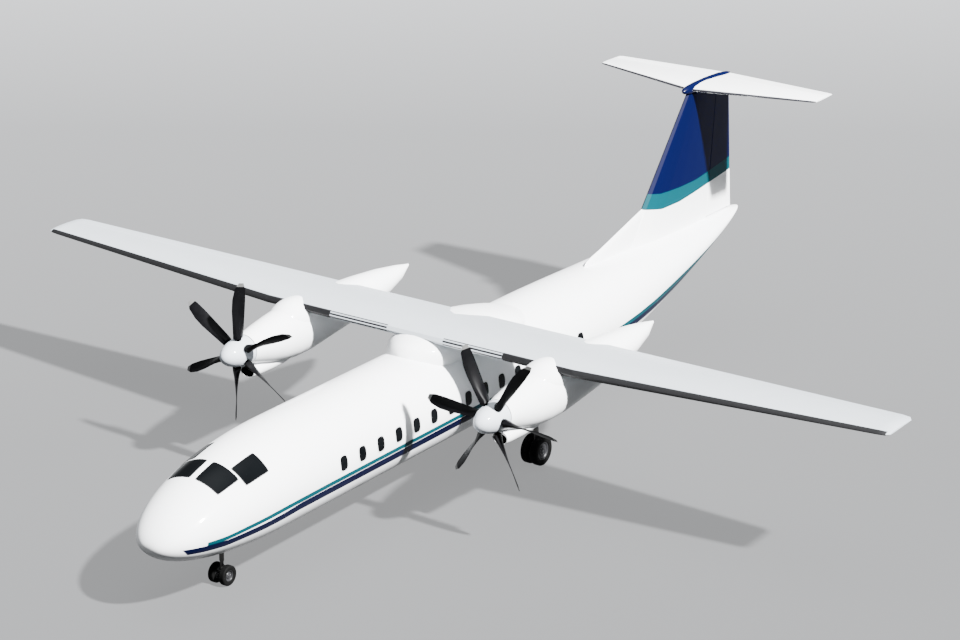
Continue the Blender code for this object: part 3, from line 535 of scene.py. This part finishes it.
# Wings: pale bluish grey paint on alloy skins, with a black rubber de-icing boot over the
# leading edge from just inboard of the nacelles to the tips, and two thin seams inboard of it.
GREY = (0.400, 0.430, 0.460)
BOOT_WIDTH = 0.11
BOOT_ROOT, BOOT_END = 2.78, 13.44
SEAMS_ROOT, RIB_PITCH = 0.9, 0.30
wing_paint = Finish("wing_paint", 0.38, specular_ior_level=0.25)
wing_x, wing_y, _ = wing_paint.place()
WING_FRONT = [(0.0, -2.970), (4.92, -2.970), (13.200, -2.178), (13.420, -2.150), (13.53, -2.060)]
front_line = wing_paint.curve(abs(wing_x), WING_FRONT, -3.5, -1.5)
back = wing_y - front_line
boot = (1 - back.over(BOOT_WIDTH, 0.008)) * (BOOT_END - abs(wing_x)).over(0.0, 0.02) \
    * (abs(wing_x) - BOOT_ROOT).over(0.0, 0.01)
streak = wing_paint.grain(2.5, 5.0)
wing_tone = wing_paint.mix(streak, [c * 0.955 for c in GREY], [c * 1.03 for c in GREY])
boot_tone = wing_paint.mix(wing_paint.grain(14.0), (0.003, 0.003, 0.0033), (0.008, 0.008, 0.009))
seams = (back.band(0.085, 0.016, 0.004) + back.band(0.030, 0.014, 0.004)) * (1 - boot) \
    * (BOOT_ROOT - abs(wing_x)).over(0.0, 0.01) * (abs(wing_x) - SEAMS_ROOT).over(0.0, 0.01)
wing_skin_tone = wing_paint.mix(seams, wing_tone, (0.006, 0.006, 0.007))
wing_paint.feed("Base Color", wing_paint.mix(boot, wing_skin_tone, boot_tone))
wing_paint.feed("Roughness", boot * 0.16 + (wing_paint.grain(3.0) * 0.08 + 0.34))
ribs = wing_paint.node("ShaderNodeMath", {"operation": "PINGPONG"}, (wing_x, RIB_PITCH))
ribs = ribs.over(RIB_PITCH - 0.008, 0.006)
wing_paint.bump(boot - ribs * 0.25 + wing_paint.grain(8.0) * 0.15, 0.0022)
for node in ("wing_center", "wing_left", "wing_right", "flap_inner_left", "flap_inner_right",
             "flap_outer_left", "flap_outer_right", "aileron_left", "aileron_right"):
    skin(node, wing_paint, 30)

# Fin and rudder: white foot, a teal band that sags between the edges, and navy above it.
TEAL_LOW = [(7.0, 4.86), (8.14, 4.57), (9.08, 4.38), (10.07, 4.36),
            (11.08, 4.42), (12.11, 4.49), (13.5, 4.55)]
TEAL_HIGH = [(7.0, 5.16), (8.46, 4.96), (9.06, 4.85), (10.05, 4.80),
             (11.06, 4.78), (12.09, 4.86), (13.5, 4.95)]
FIN_NAVY = (0.0003, 0.0014, 0.0230)
FIN_TEAL = (0.0, 0.044, 0.057)
fin_paint = white_gloss("fin_paint", roughness=0.5)
_, fin_y, fin_z = fin_paint.place()
low_line = fin_paint.curve(fin_y, TEAL_LOW, 4.0, 6.0)
high_line = fin_paint.curve(fin_y, TEAL_HIGH, 4.0, 6.0)
teal_part = (fin_z - low_line).over(0.0, PAINT_EDGE)
navy_part = (fin_z - high_line).over(0.0, PAINT_EDGE)
fin_tone = fin_paint.mix(teal_part, fin_paint.tint, FIN_TEAL)
fin_paint.feed("Base Color", fin_paint.mix(navy_part, fin_tone, FIN_NAVY))
fin_paint.feed("Coat Weight", (1 - teal_part) * 0.25)
for node in ("fin", "rudder"):
    skin(node, fin_paint, 30)
bullet_paint = white_gloss("bullet_paint", FIN_NAVY)
skin("tail_bullet", bullet_paint)

# Tailplane and elevators: white, with a thin dark boot on the leading edge.
tail_paint = white_gloss("tail_paint")
tail_x, tail_y, _ = tail_paint.place()
TAIL_FRONT = [(0.0, 10.740), (3.560, 11.686), (3.66, 11.745)]
TAIL_BOOT_WIDTH = 0.035
tail_front = tail_paint.curve(abs(tail_x), TAIL_FRONT, 10.0, 12.0)
tail_boot = 1 - (tail_y - tail_front).over(TAIL_BOOT_WIDTH, 0.006)
tail_paint.feed("Base Color", tail_paint.mix(tail_boot, tail_paint.tint, (0.02, 0.02, 0.025)))
for node in ("tailplane", "elevator_left", "elevator_right"):
    skin(node, tail_paint, 30)

# Propellers: six black composite blades with light grey tips on each hub, and pale satin spinners.
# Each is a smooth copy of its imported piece, shown in its place.
PROPELLER = {"x": 4.065, "z": 3.423, "tip": 1.865}
blade_paint = Finish("blade_paint", 0.42, specular_ior_level=0.05)
blade_x, _, blade_z = blade_paint.place()
side_x, side_z = abs(blade_x) - PROPELLER["x"], blade_z - PROPELLER["z"]
radius = blade_paint.node("ShaderNodeMath", {"operation": "SQRT"}, (side_x * side_x + side_z * side_z,))
tip = radius.over(PROPELLER["tip"], 0.01)
blade_tone = blade_paint.mix(blade_paint.grain(6.0), (0.0012, 0.0012, 0.0015), (0.0032, 0.0032, 0.0038))
blade_paint.feed("Base Color", blade_paint.mix(tip, blade_tone, (0.11, 0.11, 0.108)))
blade_paint.feed("Roughness", blade_paint.grain(12.0) * 0.12 + 0.34)
blade_paint.bump(blade_paint.grain(40.0), 0.0006)
spinner_paint = white_gloss("spinner_paint", (0.50, 0.53, 0.57), 0.4)
for side_name in ("left", "right"):
    skin(f"propeller_{side_name}", blade_paint, 40)
    skin(f"spinner_{side_name}", spinner_paint, 40)

# Engines: closed inside the nacelles, each a plain block with its shaft.
engine_metal = Finish("engine_metal", 0.4, metallic=1.0)
engine_tone = engine_metal.mix(engine_metal.grain(15.0), (0.35, 0.35, 0.36), (0.5, 0.5, 0.51))
engine_metal.feed("Base Color", engine_tone)
engine_metal.bump(engine_metal.grain(80.0), 0.0005)
for node in ("engine_left", "engine_right"):
    frame["nodes"][node].data.materials.clear()
    frame["nodes"][node].data.materials.append(engine_metal.material)

# Landing gear legs: grey-brown painted forgings under a patchy film of grime.
gear_paint = Finish("gear_paint", 0.5)
grime = gear_paint.grain(9.0, 6.0)
gear_paint.feed("Base Color", gear_paint.mix(grime, (0.022, 0.021, 0.020), (0.055, 0.053, 0.051)))
gear_paint.feed("Roughness", grime * 0.2 + 0.38)
gear_paint.bump(gear_paint.grain(50.0), 0.001)
for node in ("nose_gear_leg", "nose_gear_steering", "main_gear_leg_left", "main_gear_leg_right"):
    skin(node, gear_paint)

# Tyres and wheels: black rubber tyres with four grooves round the tread, on dark grey dished rims.
# Each pair of rims is spun in one piece with its axle. Bolts in a ring and a cap hold each wheel.
NOSE_SET = {"x": 0.0, "y": -11.05, "radius": 0.262, "width": 0.17,
            "rim": 0.14, "offset": 0.17, "axle": 0.025}
MAIN_SET = {"x": 2.054, "y": -0.214, "radius": 0.41, "width": 0.215,
            "rim": 0.25, "offset": 0.15, "axle": 0.040}
TURN_STEPS = 56
# The bolt ring, bolts and nuts are shares of the rim's radius, the outer face is a share of the
# tyre's width, and the grooves lie at shares of half that width. Depths are in metres.
BOLT_COUNT, BOLT_RING, BOLT_SIZE, BOLT_LENGTH = 10, 0.42, 0.045, 0.016
NUT_SIZE, NUT_FLATNESS, NUT_SUNK = 0.17, 0.35, 0.012
FACE_SHARE, FACE_DISH = 0.36, 0.020
GROOVES, GROOVE_DEPTH = (0.52, 0.18), 0.010
rubber = Finish("tyre_rubber", 0.75, specular_ior_level=0.05)
rubber_tone = rubber.grain(18.0, 5.0)
rubber.feed("Base Color", rubber.mix(rubber_tone, (0.0015, 0.0015, 0.0015), (0.0045, 0.0045, 0.0045)))
rubber.feed("Roughness", rubber_tone * 0.2 + 0.62)
rubber.bump(rubber.grain(90.0), 0.0008)
rim_metal = Finish("rim_metal", 0.42, specular_ior_level=0.2)
rim_tone = rim_metal.grain(14.0, 5.0)
rim_metal.feed("Base Color", rim_metal.mix(rim_tone, (0.013, 0.013, 0.014), (0.024, 0.024, 0.026)))
rim_metal.feed("Roughness", rim_tone * 0.2 + 0.3)
rim_metal.bump(rim_metal.grain(70.0), 0.0005)
hub_metal = Finish("hub_metal", 0.3, metallic=1.0)
hub_metal.feed("Base Color", hub_metal.mix(hub_metal.grain(30.0), (0.16, 0.16, 0.165), (0.24, 0.24, 0.25)))
hub_metal.bump(hub_metal.grain(90.0), 0.0004)


def spun(name, loop, center, finish):
    """A closed loop of (along the axle, radius) points spun about the axle."""
    bpy.ops.object.select_all(action="DESELECT")
    bpy.ops.mesh.primitive_circle_add(vertices=len(loop), radius=1)
    piece = alone(bpy.context.object)
    piece.name = name
    for vertex, (along, out) in zip(piece.data.vertices, loop):
        vertex.co = (center[0] + along, center[1], center[2] + out)
    bpy.ops.object.mode_set(mode="EDIT")
    bpy.ops.mesh.select_all(action="SELECT")
    bpy.ops.mesh.spin(steps=TURN_STEPS, angle=2 * math.pi, center=center, axis=(1, 0, 0))
    bpy.ops.mesh.select_all(action="SELECT")
    bpy.ops.mesh.remove_doubles(threshold=0.0001)
    bpy.ops.mesh.select_all(action="SELECT")
    bpy.ops.mesh.normals_make_consistent(inside=False)
    bpy.ops.object.mode_set(mode="OBJECT")
    bpy.ops.object.shade_smooth_by_angle(angle=math.radians(35))
    piece.data.materials.append(finish.material)
    return piece


def tyre_loop(tyre, shift):
    """One tyre's outline from bead to bead, moved along the axle by the shift."""
    half, radius, rim = tyre["width"] / 2, tyre["radius"], tyre["rim"]
    side_wall = [(0.74, rim + 0.001), (0.90, rim + 0.012), (0.985, rim * 0.62 + radius * 0.38),
                 (1.0, rim * 0.40 + radius * 0.60), (0.965, radius * 0.93), (0.86, radius * 0.972),
                 (0.72, radius * 0.992)]
    tread = []
    for place in GROOVES:
        tread += [(place + 0.050, radius), (place + 0.035, radius - GROOVE_DEPTH),
                  (place - 0.035, radius - GROOVE_DEPTH), (place - 0.050, radius)]
    right = side_wall + tread
    return [(shift + half * a, r) for a, r in right] + [(shift - half * a, r) for a, r in reversed(right)]


def rim_loop(tyre):
    """Half of the twin wheels: from the axle's middle out to the hub, over the rim and back."""
    rim, offset, width, axle = tyre["rim"], tyre["offset"], tyre["width"], tyre["axle"]
    outer, inner = offset + width * FACE_SHARE, offset - width * 0.30
    return [(outer, 0.004), (outer, rim * 0.20), (outer - 0.012, rim * 0.26), (outer - FACE_DISH, rim * 0.50),
            (outer - 0.040, rim * 0.62), (outer - 0.036, rim * 0.82), (outer - 0.006, rim * 0.90),
            (outer, rim * 0.95), (outer, rim - 0.001), (inner, rim - 0.001), (inner, rim * 0.86),
            (inner + 0.03, rim * 0.70), (inner + 0.03, rim * 0.35), (inner, rim * 0.30), (inner, axle)]


WHEEL_SETS = (("nose", NOSE_SET, 1, ("nose_tyre_left", "nose_tyre_right")),
              ("main_left", MAIN_SET, 1, ("main_left_tyre_outer", "main_left_tyre_inner")),
              ("main_right", MAIN_SET, -1, ("main_right_tyre_outer", "main_right_tyre_inner")))
for prefix, gear, side, names in WHEEL_SETS:
    center = (side * gear["x"], gear["y"], gear["radius"])
    body = body_of[f"{prefix}_wheels"]
    for node, direction in zip(names, (side, -side)):
        piece = spun(f"{node}_tread", tyre_loop(gear, direction * gear["offset"]), center, rubber)
        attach(piece, body)
        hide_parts(node)
    half = rim_loop(gear)
    loop = half + [(-a, r) for a, r in reversed(half)]
    wheels = spun(f"{prefix}_rims", loop, center, rim_metal)
    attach(wheels, body)
    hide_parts(f"{prefix}_wheels")
    # Bolts in a ring on each outer face, and a bright cap over the axle nut.
    bolts = []
    cap = gear["offset"] + gear["width"] * FACE_SHARE
    face = cap - FACE_DISH
    arm = gear["rim"] * BOLT_RING
    for direction in (1, -1):
        for number in range(BOLT_COUNT):
            turn = 2 * math.pi * number / BOLT_COUNT
            bpy.ops.object.select_all(action="DESELECT")
            bpy.ops.mesh.primitive_cylinder_add(
                vertices=6, radius=gear["rim"] * BOLT_SIZE, depth=BOLT_LENGTH, rotation=(0, math.pi / 2, 0),
                location=(center[0] + direction * face, center[1] + arm * math.sin(turn),
                          center[2] + arm * math.cos(turn)))
            bolt = alone(bpy.context.object)
            bpy.ops.object.transform_apply()
            edge = bolt.modifiers.new("edge", "BEVEL")
            edge.width = 0.002
            bpy.ops.object.modifier_apply(modifier="edge")
            bolts.append(bolt)
        bpy.ops.object.select_all(action="DESELECT")
        bpy.ops.mesh.primitive_uv_sphere_add(
            segments=20, ring_count=10, radius=gear["rim"] * NUT_SIZE,
            location=(center[0] + direction * (cap - NUT_SUNK), center[1], center[2]))
        nut = alone(bpy.context.object)
        nut.scale = (NUT_FLATNESS, 1, 1)
        bpy.ops.object.transform_apply()
        bolts.append(nut)
    piece = alone(bolts[0])
    for bolt in bolts[1:]:
        bolt.select_set(True)
    bpy.ops.object.join()
    piece.name = f"{prefix}_hub_bolts"
    piece.data.transform(piece.matrix_world)
    piece.matrix_world = Matrix.Identity(4)
    bpy.ops.object.shade_smooth_by_angle(angle=math.radians(35))
    piece.data.materials.append(hub_metal.material)
    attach(piece, body)
